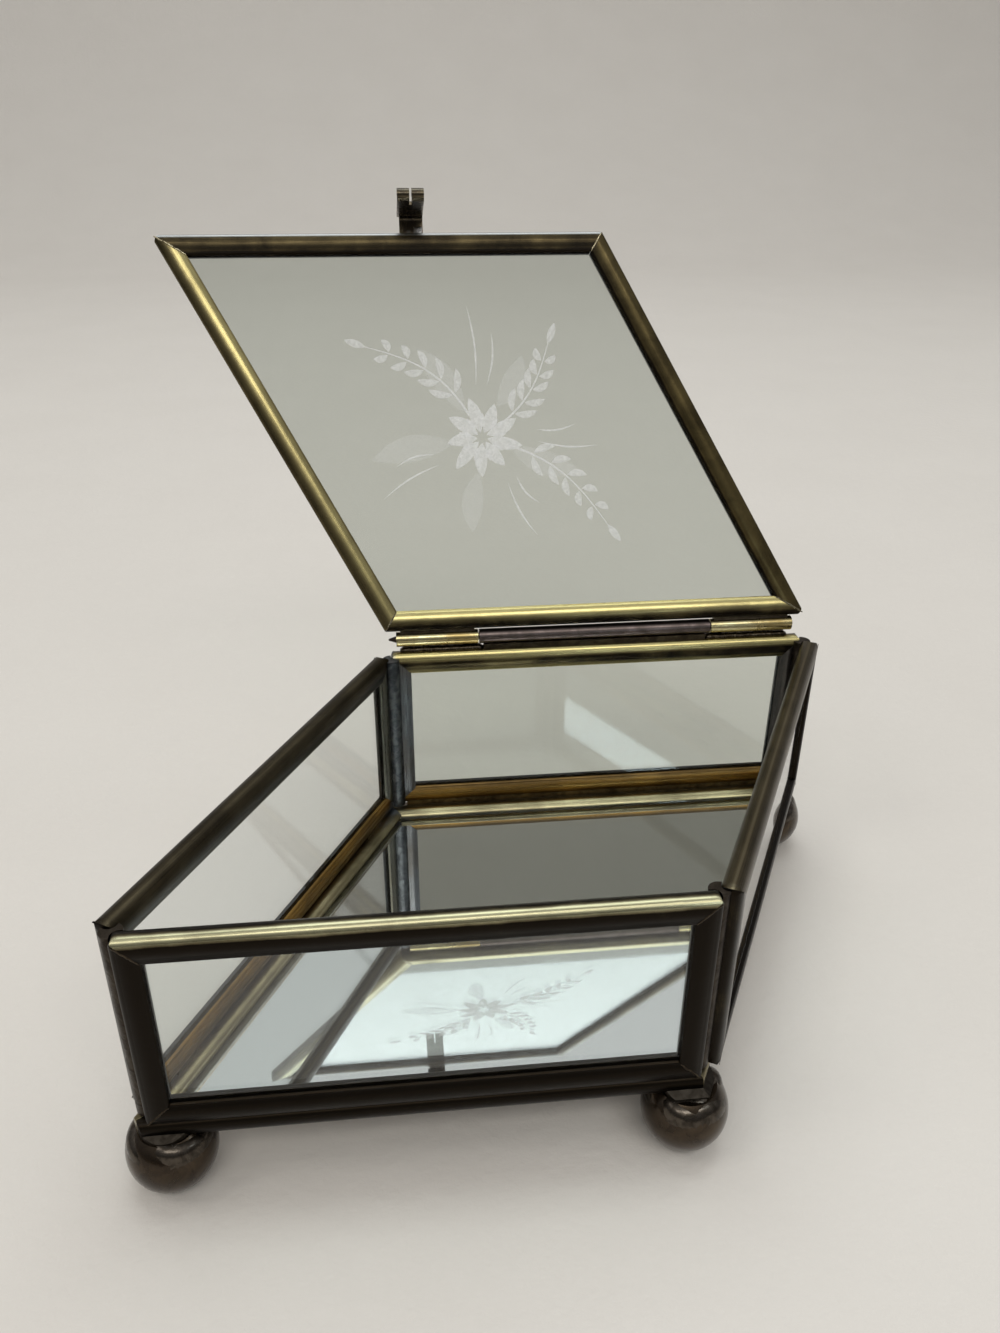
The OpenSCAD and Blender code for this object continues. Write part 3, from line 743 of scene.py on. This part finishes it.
LID_CORNERS = (
    ("lid_front_came", "lid_left_came"), ("lid_front_came", "lid_right_came"),
    ("lid_back_came", "lid_right_came"), ("lid_back_came", "lid_left_came"),
)
WALL_ENDS = (
    ("front", ("left", "right")), ("right", ("front", "back")),
    ("back", ("left", "right")), ("left", ("front", "back")),
)
WALL_CORNERS = [
    (f"{wall}_{edge}_came", f"{wall}_{end}_came")
    for wall, ends in WALL_ENDS for edge in ("top", "bottom") for end in ends
]
bright_bead = round_metal(
    "mitre_solder", (0.30, 0.26, 0.17), (0.07, 0.055, 0.03), 1.2 * MM, (0.2, 0.35))
dark_bead = round_metal(
    "dark_mitre_solder", (0.06, 0.048, 0.033), (0.03, 0.022, 0.015), 1.2 * MM)
link("lid_mitre_beads", mitre_beads(LID_CORNERS, 0.45 * MM, 0.07 * MM, 3, False),
     (bright_bead,), "lid")
link("wall_mitre_beads", mitre_beads(WALL_CORNERS, 0.5 * MM, 0.08 * MM, 4, True),
     (dark_bead,), "box")

# Section of a foot's solder collar from its skirt to its top: radii and heights, in millimetres
COLLAR = (
    (7.85, 10.7), (7.62, 11.5), (7.3, 12.3), (6.85, 13.0),
    (6.3, 13.55), (5.5, 14.0), (4.4, 14.2), (3.0, 14.2),
)


def foot_collars(metal):
    """Lumpy solder over the balls' tops, up to the floor panel's edge."""
    chance = random.Random(21)
    around = 40
    for corner in ("front_left", "front_right", "back_right", "back_left"):
        low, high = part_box(corner + "_foot")
        middle = (low + high) / 2
        waves = [
            (chance.uniform(0, 6.3), chance.randint(2, 5), chance.uniform(0.06, 0.16))
            for _ in range(4)
        ]
        bm = bmesh.new()
        rows = []
        for k, (radius, height) in enumerate(COLLAR):
            swell = math.sin(math.pi * k / (len(COLLAR) - 1))
            row = []
            for j in range(around):
                turn = 2 * math.pi * j / around
                lump = swell * sum(
                    size * math.sin(count * turn + phase + 0.5 * k)
                    for phase, count, size in waves
                )
                row.append(bm.verts.new((
                    middle.x + (radius + lump) * MM * math.cos(turn),
                    middle.y + (radius + lump) * MM * math.sin(turn),
                    (height + 0.5 * lump) * MM,
                )))
            rows.append(row)
        for first, second in zip(rows, rows[1:]):
            for j in range(around):
                i = (j + 1) % around
                bm.faces.new((first[j], first[i], second[i], second[j]))
        bm.faces.new(rows[-1])
        link(f"{corner}_foot_collar", bm, (metal,), "box")


foot_collars(round_metal(
    "collar_metal", (0.085, 0.07, 0.055), (0.03, 0.023, 0.016), 2.5 * MM, (0.2, 0.34),
    0.06 * MM, 0.2))


def tube_fill(name, start, end, seed):
    """A run of solder on the back wall's edge, just under a tube that turns."""
    chance = random.Random(seed)
    bm = bmesh.new()
    rows = []
    steps, sides = 24, 8
    forward, sunk = 0.2 * MM, 0.02 * MM
    for k in range(steps + 1):
        half = (1.15 + chance.uniform(-0.12, 0.12)) * MM
        high = (1.12 + chance.uniform(-0.08, 0.0)) * MM
        if k in (0, steps):
            half, high = half * 0.6, high * 0.5
        turns = [math.pi * j / sides for j in range(sides + 1)]
        rows.append([
            bm.verts.new((
                start + (end - start) * k / steps,
                HINGE_Y - forward + half * math.cos(t),
                WALL_TOP - sunk + high * math.sin(t) ** 0.6,
            ))
            for t in turns
        ])
    for first, second in zip(rows, rows[1:]):
        for j in range(sides):
            bm.faces.new((first[j], second[j], second[j + 1], first[j + 1]))
        bm.faces.new((first[-1], second[-1], second[0], first[0]))
    bm.faces.new(rows[0])
    bm.faces.new(list(reversed(rows[-1])))
    link(name, bm, (dark_bead,), "box")


TUBE_END = 0.8 * MM
bed_left, bed_right = (corner.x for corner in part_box("hinge_bed"))
tube_left, tube_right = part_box("hinge_left_tube")[0].x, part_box("hinge_right_tube")[1].x
tube_fill("hinge_fill_left", tube_left + TUBE_END, bed_left, 4)
tube_fill("hinge_fill_right", bed_right, tube_right - TUBE_END, 5)


def sweep(name, material):
    """A floor that curves up into a backdrop far behind the box."""
    half, front, back, high, bend = 2.6, -2.0, 1.7, 1.53, 0.7
    steps = 24
    profile = [(front, 0.0), (back - bend, 0.0)]
    for k in range(1, steps + 1):
        turn = math.radians(90) * k / steps
        profile.append((back - bend + bend * math.sin(turn), bend - bend * math.cos(turn)))
    profile.append((back, high))
    points = [(x, y, z) for y, z in profile for x in (-half, half)]
    faces = [(2 * k, 2 * k + 1, 2 * k + 3, 2 * k + 2) for k in range(len(profile) - 1)]
    mesh = bpy.data.meshes.new(name)
    mesh.from_pydata(points, [], faces)
    for face in mesh.polygons:
        face.use_smooth = True
    made = bpy.data.objects.new(name, mesh)
    bpy.context.scene.collection.objects.link(made)
    made.data.materials.append(material)


sweep("stage_sweep", stage_paint())


def lamp(name, place, aim, size, radiance, colour=(1, 1, 1), along=(1, 0, 0)):
    """A soft rectangular lamp, as bright as radiance says wherever it is seen, its first
    size lying along a direction."""
    data = bpy.data.lights.new(name, "AREA")
    data.shape = "RECTANGLE"
    data.size, data.size_y = size
    data.energy = radiance * math.pi * size[0] * size[1]
    data.color = colour
    made = bpy.data.objects.new(name, data)
    bpy.context.scene.collection.objects.link(made)
    back = (Vector(place) - Vector(aim)).normalized()
    side = Vector(along) - back * back.dot(Vector(along))
    side.normalize()
    turn = Matrix((side, back.cross(side), back)).transposed().to_4x4()
    made.matrix_world = Matrix.Translation(place) @ turn
    made.visible_camera = False


# The first lamp makes the bright patch in the mirror, and the last, which hangs near the
# box, the streak on the back pane
lamp("lamp_over", (0.06, 0.38, 1.35), (0.06, 0.38, 0), (0.95, 0.7), 2.9, (0.86, 0.95, 1.0))
lamp("lamp_high", (0.0, -1.0, 1.25), (0, 0, 0.06), (1.3, 0.4), 4.2, (1.0, 0.99, 0.96))
lamp("lamp_side", (-1.2, -0.3, 1.5), (0, 0, 0.05), (0.6, 0.6), 2.6, (1.0, 0.98, 0.95))
lamp("lamp_strip", (0.067, -0.1146, 0.0974), (0.037, 0.01, 0.017), (0.0595, 0.0122), 4.6,
     (0.80, 0.92, 1.0), (37, 46, 7))


def studio_world():
    """A world that is brighter above and darker towards the camera's side, where the room
    is. Past the floor's edge its horizon is pale, which the glass shows too."""
    world = bpy.data.worlds.new("studio")
    world.use_nodes = True
    bpy.context.scene.world = world
    tree = world.node_tree

    def node(kind, *inputs, **settings):
        made = tree.nodes.new(kind)
        for key, value in settings.items():
            setattr(made, key, value)
        for key, value in inputs:
            if isinstance(value, bpy.types.NodeSocket):
                tree.links.new(value, made.inputs[key])
            else:
                made.inputs[key].default_value = value
        return made.outputs

    def ramp(value, start, end, low, high):
        return node(
            "ShaderNodeMapRange", ("Value", value), ("From Min", start), ("From Max", end),
            ("To Min", low), ("To Max", high),
        )["Result"]

    way = node("ShaderNodeSeparateXYZ", ("Vector", node("ShaderNodeTexCoord")["Generated"]))
    above = ramp(way["Z"], 0.05, 0.8, 0.0, 0.48)
    behind = ramp(way["Y"], -0.5, 0.3, 0.10, 0.26)
    level = node("ShaderNodeMath", (0, above), (1, behind))[0]
    light = node(
        "ShaderNodeVectorMath", (0, (0.94, 0.95, 0.96)), ("Scale", level), operation="SCALE"
    )[0]
    rays = node("ShaderNodeLightPath")
    horizon = ramp(way["Z"], 0.10, 0.30, 1.0, 0.0)
    share = node(
        "ShaderNodeMath", (0, rays["Is Transmission Ray"]), (1, horizon),
        (2, rays["Is Camera Ray"]), operation="MULTIPLY_ADD", use_clamp=True,
    )[0]
    seen = node(
        "ShaderNodeMix", (0, share), (6, light), (7, (0.60, 0.57, 0.53, 1)), data_type="RGBA"
    )[2]
    tree.links.new(seen, tree.nodes["Background"].inputs["Color"])


def photo_camera():
    """The camera, where the photograph was taken from."""
    camera = bpy.data.objects.new("camera", bpy.data.cameras.new("camera"))
    camera.data.sensor_width = 36
    camera.data.lens = LENS
    camera.data.clip_start = 0.01
    camera.matrix_world = (
        Matrix.Translation(CAMERA_AT)
        @ Matrix.Rotation(-YAW, 4, "Z")
        @ Matrix.Rotation(math.radians(90) - PITCH, 4, "X")
        @ Matrix.Rotation(ROLL, 4, "Z")
    )
    bpy.context.scene.collection.objects.link(camera)
    bpy.context.scene.camera = camera


studio_world()
photo_camera()
bpy.context.scene.view_settings.view_transform = "Standard"
